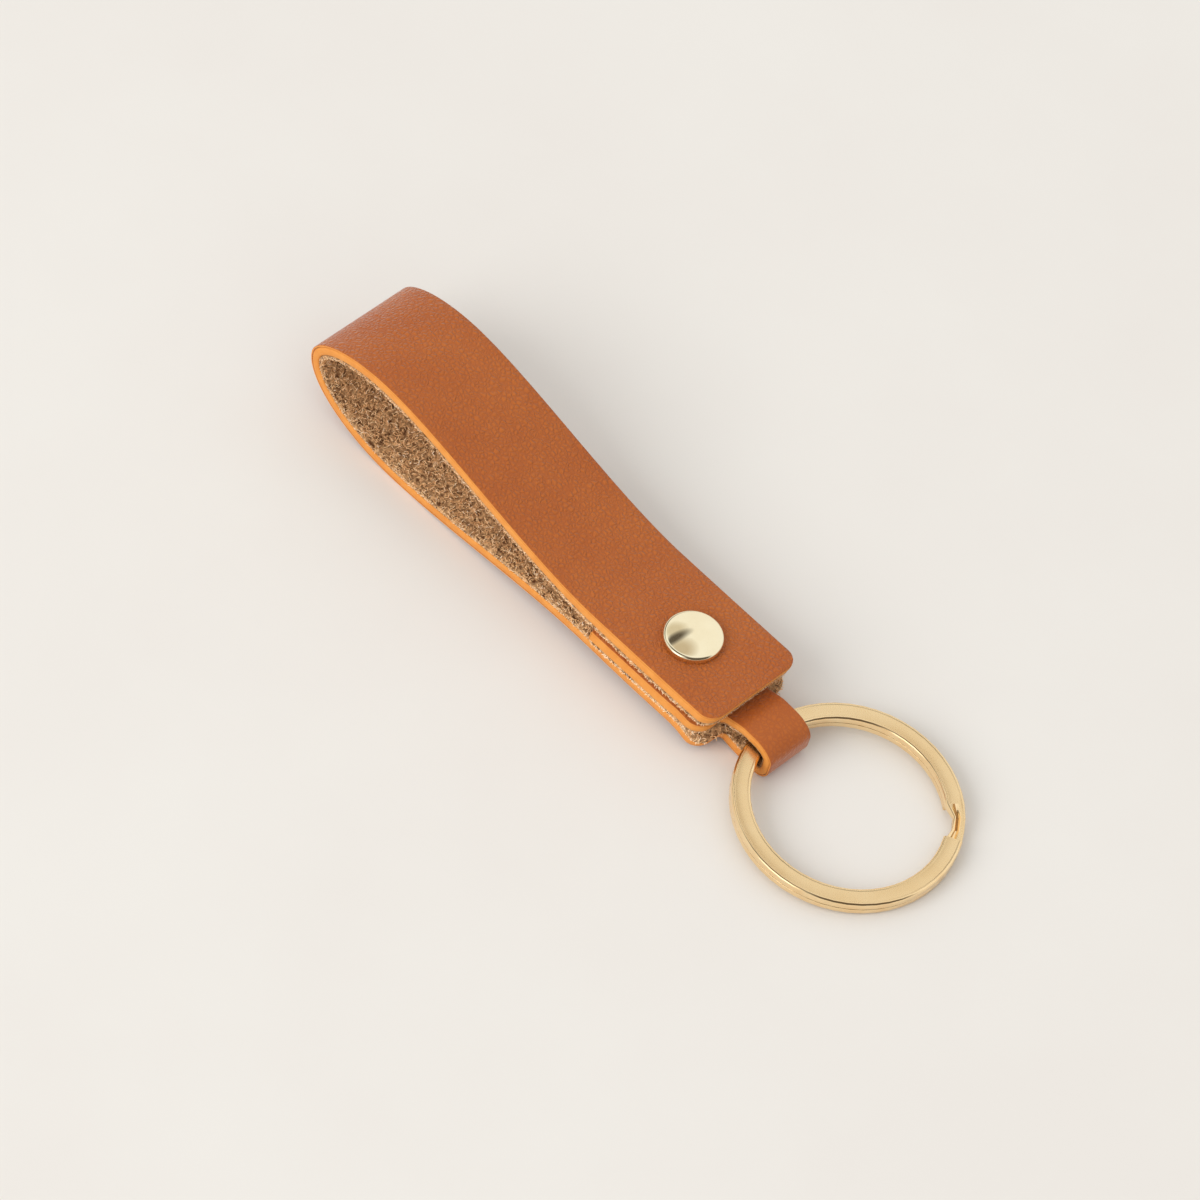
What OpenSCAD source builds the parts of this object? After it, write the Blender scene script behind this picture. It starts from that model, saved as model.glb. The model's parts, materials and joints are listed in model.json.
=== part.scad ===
// Leather strap keychain: one die-cut strip of laminated leather is folded into a
// finger loop, its narrow neck is threaded through a split ring and its end comes
// back as a tongue between the loop's two runs. One double-cap rivet clamps all three.
// X runs along the strap towards the ring, Y across it and Z up.
// The origin is under the middle of the whole keychain, on the surface it lies on.

/* [Strap] */
// Width of the strap
strap_w = 16; // [13:0.1:22]
// Width of the narrow neck that holds the ring
neck_w = 7.4; // [6:0.1:9]
// Thickness of the grained skin
skin_t = 0.3; // [0.2:0.05:0.4]
// Thickness of the coloured core under the skin
core_t = 1.2; // [1:0.05:1.4]
// Thickness of the fleece backing
backing_t = 0.5; // [0.4:0.05:0.6]
// Thickness of the fleece where the neck presses it flat round the ring
pressed_t = 0.2; // [0.15:0.05:0.3]
// Reach of the finger loop's nose behind the rivet
loop_l = 63; // [58:0.5:80]
// Height of the finger loop over the surface it lies on
loop_h = 15.6; // [14:0.2:22]
// Length of the flap in front of the rivet
flap_l = 11; // [10:0.1:11.4]
// Length of the tongue behind the rivet
tongue_l = 10.3; // [7:0.1:14]
// Distance from the rivet to the shoulders where the strap narrows
shoulder_l = 9.6; // [8.5:0.1:9.8]
// Radius of the strap's outer corners
corner_r = 2.2; // [1:0.1:3]
// Radius of the inner corners where the neck leaves the shoulders
fillet_r = 0.9; // [0.5:0.1:1.1]

/* [Rivet] */
// Diameter of both caps
cap_d = 7.7; // [6.5:0.1:9]
// Height of the front cap over the leather
front_cap_h = 1.3; // [1.1:0.05:1.6]
// Height of the rear cap, which the strap stands on
rear_cap_h = 2.6; // [2.2:0.1:3]
// Wall of the pressed caps
cap_wall = 0.3; // [0.2:0.05:0.35]
// Diameter of the rivet's post
post_d = 2.2; // [1.8:0.1:2.6]
// Wall of the socket tube that grips the post
socket_wall = 0.45; // [0.3:0.05:0.6]
// Sideways offset of the rivet from the strap's middle line
rivet_side = -0.5; // [-2:0.1:2]

/* [Split ring] */
// Outer diameter of the ring
ring_d = 30; // [26:0.5:36]
// Width of the flat wire
band_w = 2.5; // [2:0.1:2.8]
// Thickness of both coils together
ring_t = 2.2; // [1.8:0.1:2.4]
// Slit between the two coils
coil_gap = 0.04; // [0.02:0.01:0.08]
// Sideways offset of the ring from the strap's middle line
ring_side = 0.6; // [0:0.1:1.2]
// Direction from the ring's centre to its crossover
crossover_at = 42; // [20:1:160]
// Angle that the crossover takes
crossover_a = 21; // [18:1:28]

/* [Fits] */
// Room between the leather and the ring
ring_fit = 0.1; // [0.05:0.01:0.2]
// Room between the neck and the leather it bends against
neck_fit = 0.12; // [0.08:0.01:0.2]
// Room between the rivet's socket and the holes in the leather
hole_fit = 0.1; // [0.05:0.01:0.2]
// Room between the pressed parts of the rivet
press_fit = 0.02; // [0.01:0.01:0.05]

/* [Hidden] */

$fn = 96;
curve_steps = 12;
far = 200;

grain_colour = "#b9683a";
core_colour = "#f79a45";
fleece_colour = "#99714a";
gold_colour = "#e0c07f";
steel_colour = "#b9b9b4";

// The stack of three leathers that the rivet clamps, from the rear cap upwards
leather_t = skin_t + core_t + backing_t;
neck_t = skin_t + core_t + pressed_t;
stack_z = [for (i = [0:3]) rear_cap_h + i * leather_t];
split_z = (stack_z[1] + stack_z[2]) / 2;

// The ring lies on its far edge and on the neck's lower leg
floor_gap = 0.05;
ring_r = ring_d / 2;
hole_r = ring_r - band_w;

// The neck's fold round the ring's band, in the ring's own plane
fold_bend = 0.35;
fold_half = ring_t / 2 + ring_fit + neck_t;
fold_corner = fold_bend + neck_t;
fold_nose = ring_fit + neck_t - sqrt(pow(hole_r, 2) - pow(neck_w / 2 + abs(ring_side), 2));
fold_start = fold_nose - fold_corner;

ring_tilt = asin((floor_gap + neck_t + ring_fit) / (ring_r - fold_start));
ring_z = ring_r * sin(ring_tilt) + ring_t / 2 * cos(ring_tilt);
neck_len = 3.5;
ring_x = shoulder_l + neck_len + ring_r * cos(ring_tilt);

// The line that the neck bends about, just outside the ring's band
hinge = in_ring_plane(-ring_r, 0);
knuckle_room = 0.7;
knuckle_r = fold_half + knuckle_room;

// Middle of the whole keychain along X
reach_x = ring_x + ring_r * cos(ring_tilt) + ring_t / 2 * sin(ring_tilt);
middle_x = (reach_x - loop_l) / 2;

function in_ring_plane(along, above) = [
    ring_x + along * cos(ring_tilt) + above * sin(ring_tilt),
    ring_z - along * sin(ring_tilt) + above * cos(ring_tilt)
];
function heading(angle) = [cos(angle), sin(angle)];
function left_of(dir) = [-dir[1], dir[0]];

// A stop on the strip's route: where the grain side is, which way it heads, and the
// length of its handle before and after. The fleece side lies to the left.
function stop(at, angle, before = 0, after = 0) = [at, angle, before, after];
function folded(along, above, angle, before = 0, after = 0) =
    stop(in_ring_plane(along, above), angle - ring_tilt, before, after);

// Points of one stretch between two stops, each with the direction to the fleece side
function on_curve(a, b, c, d, t) =
    pow(1 - t, 3) * a + 3 * t * pow(1 - t, 2) * b + 3 * t * t * (1 - t) * c + pow(t, 3) * d;
function slope(a, b, c, d, t) =
    3 * pow(1 - t, 2) * (b - a) + 6 * t * (1 - t) * (c - b) + 3 * t * t * (d - c);
function stretch(from, to) =
    let (
        straight = from[3] == 0,
        steps = straight ? 1 : curve_steps,
        b = from[0] + from[3] * heading(from[1]),
        c = to[0] - to[2] * heading(to[1])
    )
    [for (i = [0:steps]) let (
        t = i / steps,
        at = on_curve(from[0], b, c, to[0], t),
        run = straight ? heading(from[1]) : slope(from[0], b, c, to[0], t)
    ) [at, left_of(run / norm(run))]];
function trace(stops) = [
    for (i = [0:len(stops) - 2]) each stretch(stops[i], stops[i + 1])
];

quarter = 0.5523;
flat_l = cap_d / 2 + 0.5;
dip = 0.45 * (shoulder_l + neck_len - flat_l);
crest_x = -0.8 * loop_l;
nose_z = 0.6 * loop_h;
rest_x = -0.72 * loop_l;
open_x = -tongue_l;
rise = 0.2 * loop_l;
sweep = 0.17 * loop_l;

loop_stops = [
    stop([flap_l, stack_z[3]], 180),
    stop([open_x, stack_z[3]], 180, 0, rise),
    stop([crest_x, loop_h], 180, sweep, quarter * (loop_l + crest_x)),
    stop([-loop_l, nose_z], 270, quarter * (loop_h - nose_z), quarter * nose_z),
    stop([rest_x, 0], 0, quarter * (loop_l + rest_x), sweep),
    stop([open_x, stack_z[0]], 0, sweep),
    stop([flat_l, stack_z[0]], 0, 0, dip),
    folded(-ring_r, -fold_half, 0, dip)
];
neck_stops = [
    stop([flat_l, stack_z[0]], 0, 0, dip),
    folded(-ring_r, -fold_half, 0, dip),
    folded(fold_start, -fold_half, 0, 0, quarter * fold_corner),
    folded(fold_nose, fold_corner - fold_half, 90, quarter * fold_corner),
    folded(fold_nose, fold_half - fold_corner, 90, 0, quarter * fold_corner),
    folded(fold_start, fold_half, 180, quarter * fold_corner),
    folded(-ring_r, fold_half, 180, 0, dip),
    stop([flat_l, stack_z[2]], 180, dip)
];
tongue_stops = [
    folded(-ring_r, fold_half, 180, 0, dip),
    stop([flat_l, stack_z[2]], 180, dip),
    stop([-tongue_l, stack_z[2]], 180)
];

// Side profile of one layer of the strip, from one depth under the grain to another
module layer_profile(stops, outer, inner) {
    points = trace(stops);
    last = len(points) - 1;
    polygon(concat(
        [for (p = points) p[0] + outer * p[1]],
        [for (i = [last:-1:0]) points[i][0] + inner * points[i][1]]
    ));
}

// The neck's side of the bending line: round the hinge, and everything beyond it
module neck_side(radius) {
    translate(hinge) circle(r = radius);
    translate([hinge[0], -far / 2]) square([far, far]);
}

// Outline of a strap end with two rounded corners, seen from above
module rounded_end(end_x) {
    translate([-far, -strap_w / 2]) square([far + end_x - corner_r, strap_w]);
    translate([-far, corner_r - strap_w / 2]) square([far + end_x, strap_w - 2 * corner_r]);
    for (side = [-1, 1])
        translate([end_x - corner_r, side * (strap_w / 2 - corner_r)]) circle(r = corner_r);
}

// Outline of the shoulders with the neck between them, seen from above
module shouldered_end() {
    rounded_end(shoulder_l);
    translate([0, -neck_w / 2]) square([far, neck_w]);
    for (side = [-1, 1])
        translate([shoulder_l, side * neck_w / 2])
            mirror([0, side < 0 ? 1 : 0])
                difference() {
                    square(fillet_r);
                    translate([fillet_r, fillet_r]) circle(r = fillet_r);
                }
}

module across(width) {
    rotate([90, 0, 0]) linear_extrude(width, center = true) children();
}

module rivet_hole() {
    translate([0, rivet_side, -1])
        cylinder(r = post_d / 2 + press_fit + socket_wall + hole_fit, h = far);
}

module placed() {
    translate([-middle_x, -ring_side, 0]) children();
}

// The flap, the finger loop and the run under it, which end where the neck starts
module loop_layer(outer, inner) {
    placed() difference() {
        intersection() {
            across(strap_w) difference() {
                layer_profile(loop_stops, outer, inner);
                neck_side(knuckle_r);
            }
            union() {
                translate([0, 0, split_z]) linear_extrude(far) rounded_end(flap_l);
                translate([0, 0, split_z - far]) linear_extrude(far) shouldered_end();
            }
        }
        rivet_hole();
    }
}

// The tongue between the two runs, from the neck to its own square end
module tongue_layer(outer, inner) {
    placed() difference() {
        intersection() {
            across(strap_w) difference() {
                layer_profile(tongue_stops, outer, inner);
                neck_side(knuckle_r);
            }
            translate([0, 0, -1]) linear_extrude(far) shouldered_end();
        }
        rivet_hole();
    }
}

// The neck, folded round the ring
module neck_layer(outer, inner) {
    placed() intersection() {
        across(neck_w + 2 * fillet_r) intersection() {
            layer_profile(neck_stops, outer, inner);
            neck_side(knuckle_r - neck_fit);
        }
        translate([0, 0, -1]) linear_extrude(far) shouldered_end();
    }
}

module loop_skin() { color(grain_colour) loop_layer(0, skin_t); }
module loop_core() { color(core_colour) loop_layer(skin_t, skin_t + core_t); }
module loop_backing() { color(fleece_colour) loop_layer(skin_t + core_t, leather_t); }
module tongue_skin() { color(grain_colour) tongue_layer(0, skin_t); }
module tongue_core() { color(core_colour) tongue_layer(skin_t, skin_t + core_t); }
module tongue_backing() { color(fleece_colour) tongue_layer(skin_t + core_t, leather_t); }
module neck_skin() { color(grain_colour) neck_layer(0, skin_t); }
module neck_core() { color(core_colour) neck_layer(skin_t, skin_t + core_t); }
module neck_backing() { color(fleece_colour) neck_layer(skin_t + core_t, neck_t); }

// A pressed cap: a straight rim, a low dome and a lip turned in against the leather.
// Its lip lies at height 0 and the dome rises to cap_h.
cap_r = cap_d / 2;
dome_h = 0.8;
lip_w = 1.1;
lip_r = cap_r - lip_w;
flange_t = 0.2;
flange_r = lip_r + 0.2;
function dome_radius(r, h) = (r * r + h * h) / (2 * h);
module dome(r, top, h) {
    intersection() {
        translate([0, 0, top - dome_radius(r, h)]) sphere(r = dome_radius(r, h));
        cylinder(r = r, h = top);
    }
}
module cap_shell(cap_h) {
    difference() {
        dome(cap_r, cap_h, dome_h);
        translate([0, 0, cap_wall]) dome(cap_r - cap_wall, cap_h - 2 * cap_wall, dome_h - cap_wall / 2);
        translate([0, 0, -cap_wall]) cylinder(r = lip_r, h = 3 * cap_wall);
    }
}

// The disc that the cap's lip holds, with its stem through the leather
module flange() {
    translate([0, 0, cap_wall + press_fit])
        cylinder(r = flange_r, h = flange_t);
    cylinder(r = lip_r - press_fit, h = cap_wall + 2 * press_fit);
}

module at_rivet(z) {
    placed() translate([0, rivet_side, z]) children();
}

module rivet_front_cap() {
    color(gold_colour) at_rivet(stack_z[3]) cap_shell(front_cap_h);
}

module rivet_rear_cap() {
    color(gold_colour) at_rivet(stack_z[0]) mirror([0, 0, 1]) cap_shell(rear_cap_h);
}

stem_end = 0.6;
module rivet_post() {
    color(steel_colour) {
        at_rivet(stack_z[3]) flange();
        at_rivet(stack_z[0] + stem_end) cylinder(d = post_d, h = 3 * leather_t - stem_end + cap_wall);
    }
}

module rivet_socket() {
    color(steel_colour) difference() {
        union() {
            at_rivet(stack_z[0]) mirror([0, 0, 1]) flange();
            at_rivet(stack_z[0])
                cylinder(r = post_d / 2 + press_fit + socket_wall, h = 3 * leather_t - stem_end);
        }
        at_rivet(stack_z[0] + stem_end / 2)
            cylinder(r = post_d / 2 + press_fit, h = 3 * leather_t);
    }
}

// The split ring: a lower and an upper coil that cover all but the crossover, and the
// ramp between them that carries the wire from one level to the other
coil_t = (ring_t - coil_gap) / 2;
edge = 0.15;
module coil_section() {
    polygon([
        [hole_r + edge, 0], [ring_r - edge, 0], [ring_r, edge], [ring_r, coil_t - edge],
        [ring_r - edge, coil_t], [hole_r + edge, coil_t], [hole_r, coil_t - edge], [hole_r, edge]
    ]);
}
module coil(z, lead) {
    translate([0, 0, z])
        rotate([0, 0, crossover_at + crossover_a / 2 + lead[0]])
            rotate_extrude(angle = 360 - crossover_a - lead[0] + lead[1]) coil_section();
}
module ramp() {
    reach = ring_r * sin(crossover_a / 2);
    level = reach * 0.45;
    bottom = [
        [-reach, -ring_t / 2], [-level, -ring_t / 2], [level, coil_gap / 2], [reach, coil_gap / 2]
    ];
    intersection() {
        rotate([0, 0, crossover_at]) rotate([90, 0, 90]) linear_extrude(ring_d)
            polygon(concat(bottom, [for (i = [3:-1:0]) bottom[i] + [0, coil_t]]));
        translate([0, 0, -ring_t]) difference() {
            cylinder(r = ring_r, h = 2 * ring_t);
            translate([0, 0, -1]) cylinder(r = hole_r, h = 2 * ring_t + 2);
        }
    }
}
free_end = 1;
module split_ring() {
    color(gold_colour)
        placed() translate([ring_x, ring_side, ring_z]) rotate([0, ring_tilt, 0]) {
            coil(-ring_t / 2, [free_end, 0]);
            coil(coil_gap / 2, [0, -free_end]);
            ramp();
        }
}

loop_skin();
loop_core();
loop_backing();
tongue_skin();
tongue_core();
tongue_backing();
neck_skin();
neck_core();
neck_backing();
rivet_front_cap();
rivet_post();
rivet_rear_cap();
rivet_socket();
split_ring();
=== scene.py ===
"""Leather strap keychain: the finishes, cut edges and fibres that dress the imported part.

The strip is die-cut flat in three layers, bent along one route and held by a rivet with
two pressed caps. The ring is a flat bar wound twice. Shapes are made in millimetres in
the rivet's frame, with X = 0 on the rivet's axis, and put in their place in metres last.
"""
import json
import math
import random

import bpy
import mathutils
from mathutils import Matrix, Vector
from mathutils.geometry import interpolate_bezier

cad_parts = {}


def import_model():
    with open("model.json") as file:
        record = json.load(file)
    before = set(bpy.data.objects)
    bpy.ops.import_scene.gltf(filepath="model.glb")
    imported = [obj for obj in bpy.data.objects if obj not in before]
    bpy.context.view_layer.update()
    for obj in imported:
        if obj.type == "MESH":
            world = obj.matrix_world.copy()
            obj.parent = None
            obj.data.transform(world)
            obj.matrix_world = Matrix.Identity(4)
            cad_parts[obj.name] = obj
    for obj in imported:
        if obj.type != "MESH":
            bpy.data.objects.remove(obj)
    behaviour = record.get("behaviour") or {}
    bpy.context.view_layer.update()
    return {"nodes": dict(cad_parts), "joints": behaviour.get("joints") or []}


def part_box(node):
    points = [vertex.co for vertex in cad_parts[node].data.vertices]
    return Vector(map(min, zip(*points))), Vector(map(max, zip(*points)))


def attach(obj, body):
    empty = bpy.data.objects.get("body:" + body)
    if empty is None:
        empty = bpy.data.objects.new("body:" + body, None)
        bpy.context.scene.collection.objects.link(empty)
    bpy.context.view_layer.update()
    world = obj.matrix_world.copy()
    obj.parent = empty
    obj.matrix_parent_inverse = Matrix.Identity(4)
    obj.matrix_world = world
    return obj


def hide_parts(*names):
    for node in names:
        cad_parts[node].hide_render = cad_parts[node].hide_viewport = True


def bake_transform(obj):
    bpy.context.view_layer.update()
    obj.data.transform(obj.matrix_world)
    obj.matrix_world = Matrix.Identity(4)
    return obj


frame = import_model()

# ---------------------------------------------------------------- sizes, in millimetres
MM = 0.001

strap_w = 16
neck_w = 7.4
skin_t = 0.3
core_t = 1.2
backing_t = 0.5
pressed_t = 0.2
loop_l = 63
loop_h = 15.6
flap_l = 11
tongue_l = 10.3
shoulder_l = 9.6
corner_r = 2.2
fillet_r = 0.9

cap_d = 7.7
front_cap_h = 1.3
rear_cap_h = 2.6
cap_sheet = 0.18
# How far the rim of each cap sinks into the leather
front_sink = 0.14
rear_sink = 0.1
post_d = 2.2
socket_wall = 0.45
rivet_side = -0.5

ring_d = 30
band_w = 2.5
ring_t = 2.2
coil_gap = 0.04
crossover_at = 42
crossover_a = 21
free_end = 1

ring_fit = 0.1
hole_fit = 0.1
press_fit = 0.02
fold_bend = 0.35
# Share of its thickness that the strip loses from the ring's fold on
draw = 0.13
# How far into the loop, past each of its ends, the shapes set round the rivet reach
fade_l = 20

base_t = skin_t + core_t
leather_t = base_t + backing_t
neck_t = base_t + pressed_t
stack_z = [rear_cap_h + layer * leather_t for layer in range(4)]
ring_r = ring_d / 2
hole_r = ring_r - band_w
half_w = strap_w / 2

# Where the keychain's frame holds the rivet, the strap's middle line and the ring
rivet_low, rivet_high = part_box("rivet_front_cap")
strap_low, strap_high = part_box("loop_core")
rivet_x = (rivet_low.x + rivet_high.x) / 2
strap_y = (strap_low.y + strap_high.y) / 2
joints = {joint["name"]: joint for joint in frame["joints"]}
ring_centre = Vector(joints["ring_turn"]["pos_m"])
ring_axis = Vector(joints["ring_turn"]["axis"])
ring_side = -strap_y / MM
ring_tilt = math.atan2(ring_axis.x, ring_axis.z)
ring_x = (ring_centre.x - rivet_x) / MM
ring_z = ring_centre.z / MM

strap_place = Matrix.Translation((rivet_x, strap_y, 0)) @ Matrix.Scale(MM, 4)
ring_place = (
    Matrix.Translation(ring_centre)
    @ Matrix.Rotation(ring_tilt, 4, "Y")
    @ Matrix.Scale(MM, 4)
)


# ---------------------------------------------------------------- modelling helpers
def deselect():
    bpy.ops.object.select_all(action="DESELECT")


def activate(piece):
    deselect()
    piece.select_set(True)
    bpy.context.view_layer.objects.active = piece


# Dark gold for the ring's slot floor: painted shade and a painted dark reflection in the groove.
def edit(piece):
    activate(piece)
    bpy.ops.object.mode_set(mode="EDIT")


def leave_edit():
    bpy.ops.object.mode_set(mode="OBJECT")


def named(name):
    """The primitive that was just added, under its own name."""
    piece = bpy.context.object
    piece.name = name
    piece.data.name = name
    return piece


def select_all():
    bpy.ops.mesh.select_all(action="SELECT")


def pick(piece, kind, test):
    """In edit mode, leaves selected only the elements of one kind that pass the test."""
    bpy.ops.mesh.select_mode(type=kind)
    bpy.ops.mesh.select_all(action="DESELECT")
    leave_edit()
    mesh = piece.data
    items = {"VERT": mesh.vertices, "EDGE": mesh.edges, "FACE": mesh.polygons}[kind]
    for item in items:
        item.select = test(item)
    bpy.ops.object.mode_set(mode="EDIT")


def cut(place, normal):
    select_all()
    bpy.ops.mesh.bisect(plane_co=place, plane_no=normal)


def recalculate():
    select_all()
    bpy.ops.mesh.normals_make_consistent(inside=False)


def finish_modifiers(piece):
    activate(piece)
    for modifier in list(piece.modifiers):
        bpy.ops.object.modifier_apply(modifier=modifier.name)


def smooth(piece, angle=40):
    activate(piece)
    bpy.ops.object.shade_smooth_by_angle(angle=math.radians(angle))


def ease(share):
    share = min(1, max(0, share))
    return share * share * (3 - 2 * share)


# ---------------------------------------------------------------- the strip's route
def in_ring_plane(along, above):
    side, up = math.sin(ring_tilt), math.cos(ring_tilt)
    return ring_x + along * up + above * side, ring_z - along * side + above * up


def stop(at, angle, before=0, after=0):
    """A stop on the route: its place, its heading and its handles' lengths."""
    return Vector((*at, 0)), math.radians(angle), before, after


def folded(along, above, angle, before=0, after=0):
    return stop(in_ring_plane(along, above), angle - math.degrees(ring_tilt), before, after)


def strip_stops():
    """The stops from the flap's end, round the finger loop and the ring, to the tongue."""
    quarter = 0.5523
    flat_l = cap_d / 2 + 0.5
    neck_len = 3.5
    dip = 0.45 * (shoulder_l + neck_len - flat_l)
    crest_x = -0.8 * loop_l
    nose_z = 0.6 * loop_h
    rest_x = -0.72 * loop_l
    open_x = -tongue_l
    rise = 0.2 * loop_l
    sweep = 0.17 * loop_l
    fold_half = ring_t / 2 + ring_fit + neck_t
    corner = fold_bend + neck_t
    inner = math.sqrt(hole_r ** 2 - (neck_w / 2 + abs(ring_side)) ** 2)
    nose = ring_fit + neck_t - inner
    start = nose - corner
    round_it = quarter * corner
    # The fold's upper side stands a little proud of the ring and rounds off to its nose
    crown = fold_half + 0.05
    crown_from, crown_to = nose - 3.3, 0.65
    # Past the ring the neck steps over to the tongue
    step_x, step_z = shoulder_l + 0.3, stack_z[2] - 1.05
    return [
        stop((flap_l, stack_z[3]), 180),
        stop((open_x, stack_z[3]), 180, 0, rise),
        stop((crest_x, loop_h), 180, sweep, quarter * (loop_l + crest_x)),
        stop((-loop_l, nose_z), 270, quarter * (loop_h - nose_z), quarter * nose_z),
        stop((rest_x, 0), 0, quarter * (loop_l + rest_x), sweep),
        stop((open_x, stack_z[0]), 0, sweep),
        stop((flat_l, stack_z[0]), 0, 0, dip),
        folded(-ring_r, -fold_half, 0, dip),
        folded(start, -fold_half, 0, 0, round_it),
        folded(nose, corner - fold_half, 90, round_it),
        folded(nose, crown_to, 90, 0, quarter * (crown - crown_to)),
        folded(crown_from, crown, 180, quarter * (nose - crown_from)),
        folded(-ring_r, crown, 180, 0, 1.1),
        stop((step_x, step_z), 180, 1.2, 1.9),
        stop((flat_l, stack_z[2]), 180, 1.9),
        stop((-tongue_l, stack_z[2]), 180),
    ]


def handles(stops):
    """Each stop with its two handle points. A straight stretch has its thirds."""
    out = []
    for number, (at, angle, before, after) in enumerate(stops):
        heading = Vector((math.cos(angle), math.sin(angle), 0))
        last = stops[max(0, number - 1)][0]
        following = stops[min(len(stops) - 1, number + 1)][0]
        back = before or (at - last).length / 3
        ahead = after or (following - at).length / 3
        out.append((at, at - back * heading, at + ahead * heading))
    return out


def length_at(points, run, x):
    """Length along the route where one of its stretches passes a place along X."""
    total = 0
    for number in range(len(points) - 1):
        at, ahead, back, to = (
            points[number][0], points[number][2], points[number + 1][1], points[number + 1][0]
        )
        steps = interpolate_bezier(at, ahead, back, to, 200)
        for low, high in zip(steps, steps[1:]):
            if number == run and min(low.x, high.x) <= x <= max(low.x, high.x):
                return total + (high - low).length * (x - low.x) / (high.x - low.x)
            total += (high - low).length
    return total


def route_curve(points):
    """The route as a flat curve, stood up so that its own Y points up."""
    curve = bpy.data.curves.new("route", "CURVE")
    curve.dimensions = "2D"
    curve.resolution_u = 64
    spline = curve.splines.new("BEZIER")
    spline.bezier_points.add(len(points) - 1)
    for knot, (at, before, after) in zip(spline.bezier_points, points):
        knot.handle_left_type = knot.handle_right_type = "FREE"
        knot.co, knot.handle_left, knot.handle_right = at, before, after
    route = bpy.data.objects.new("route", curve)
    bpy.context.scene.collection.objects.link(route)
    route.rotation_euler = (math.radians(90), 0, 0)
    bpy.context.view_layer.update()
    return route


# Stretches of the route, each numbered by the stop that it starts from
flap_run, loop_end_run, lower_run, lower_neck_run, inner_fold_run = 0, 4, 5, 6, 7
upper_neck_run, step_run, tongue_run = 12, 13, 14
nudge = 0.01

knots = handles(strip_stops())
strip_l = length_at(knots, len(knots), 0)
neck_from = length_at(knots, lower_neck_run, shoulder_l)
neck_to = length_at(knots, step_run, shoulder_l)
fold_from = length_at(knots, inner_fold_run, knots[inner_fold_run + 1][0].x - nudge)
band_from = length_at(knots, lower_neck_run, knots[lower_neck_run + 1][0].x - nudge)
band_to = length_at(knots, upper_neck_run, knots[upper_neck_run][0].x - nudge)
loop_from = length_at(knots, flap_run, -tongue_l)
loop_to = length_at(knots, loop_end_run, -tongue_l - nudge)
rivet_at = [length_at(knots, run, 0) for run in (flap_run, lower_run, tongue_run)]
route = route_curve(knots)


def bend(piece):
    """Bends a flat piece, whose X is its length along the strip, along the route."""
    modifier = piece.modifiers.new("route", "CURVE")
    modifier.object = route
    modifier.deform_axis = "POS_X"
    finish_modifiers(piece)


# ---------------------------------------------------------------- the strip's layers
def stations():
    """Where the flat strip is cut across so that it can bend, finely between the neck's
    fillets."""
    fine, coarse, fillets = 0.22, 0.8, 1.2
    at, places = coarse, []
    while at < strip_l:
        places.append(at)
        at += fine if neck_from + fillets < at < neck_to - fillets else coarse
    return places


def round_corners(piece, x, y, radius):
    """Rounds the two corners of the flat outline at one place along the strip."""
    near = 0.01
    pick(
        piece, "VERT",
        lambda v: abs(v.co.x - x) < near and abs(abs(v.co.y) - y) < near,
    )
    bpy.ops.mesh.bevel(affect="VERTICES", offset=radius, segments=6)


def flat_layer(name, inset, low, high, edge_r):
    """One layer of the die-cut strip, lying flat with the grain side down. It reaches
    from one depth under the grain to another and stays inside the strip's outline."""
    lane_w = 1
    deselect()
    bpy.ops.mesh.primitive_plane_add(size=1, location=(strip_l / 2, 0, low))
    piece = named(name)
    piece.scale = (strip_l - 2 * inset, strap_w - 2 * inset, 1)
    bpy.ops.object.transform_apply()
    wide, narrow = half_w - inset, neck_w / 2 - inset
    shoulders = (neck_from - inset, neck_to + inset)
    edit(piece)
    for x in shoulders:
        cut((x, 0, 0), (1, 0, 0))
    for y in (-narrow, narrow):
        cut((0, y, 0), (0, 1, 0))
    pick(
        piece, "FACE",
        lambda f: shoulders[0] < f.center.x < shoulders[1] and abs(f.center.y) > narrow,
    )
    bpy.ops.mesh.delete(type="FACE")
    select_all()
    bpy.ops.mesh.dissolve_limited()
    round_corners(piece, inset, wide, corner_r - inset)
    for x in shoulders:
        round_corners(piece, x, wide, corner_r - inset)
        round_corners(piece, x, narrow, fillet_r + inset)
    for x in stations():
        cut((x, 0, 0), (1, 0, 0))
    lane = lane_w - half_w
    while lane < half_w:
        cut((0, lane, 0), (0, 1, 0))
        lane += lane_w
    select_all()
    bpy.ops.mesh.remove_doubles(threshold=0.01)
    bpy.ops.mesh.extrude_region_move(TRANSFORM_OT_translate={"value": (0, 0, high - low)})
    recalculate()
    bpy.ops.mesh.select_mode(type="EDGE")
    bpy.ops.mesh.select_all(action="DESELECT")
    bpy.ops.mesh.edges_select_sharp(sharpness=math.radians(60))
    bpy.ops.mesh.bevel(offset=edge_r, segments=3, affect="EDGES", clamp_overlap=False)
    leave_edit()
    return piece


def half_at(x):
    """Half the width of the strip's outline at a place along it, corners included."""
    if neck_from < x < neck_to:
        return neck_w / 2
    room = min(x, abs(x - neck_from), abs(x - neck_to))
    into = max(0, corner_r - room)
    return half_w - corner_r + math.sqrt(max(0, corner_r ** 2 - into ** 2))


def pressed(x):
    """How far the fleece is pressed flat at a place along the strip, from 0 to 1."""
    run, early = 4, 0.3
    return ease((x - neck_from) / run + early) * ease((neck_to - x) / run + early)


def depth_at(x, z):
    """Depth under the grain once the neck is pressed and the strip is drawn thin from the
    ring's fold on."""
    run = 3
    if z > base_t:
        z -= (z - base_t) * (1 - pressed_t / backing_t) * pressed(x)
    return z * (1 - draw * ease((x - fold_from) / run + 1))


def press_neck(piece):
    for vertex in piece.data.vertices:
        vertex.co.z = depth_at(vertex.co.x, vertex.co.z)


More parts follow.
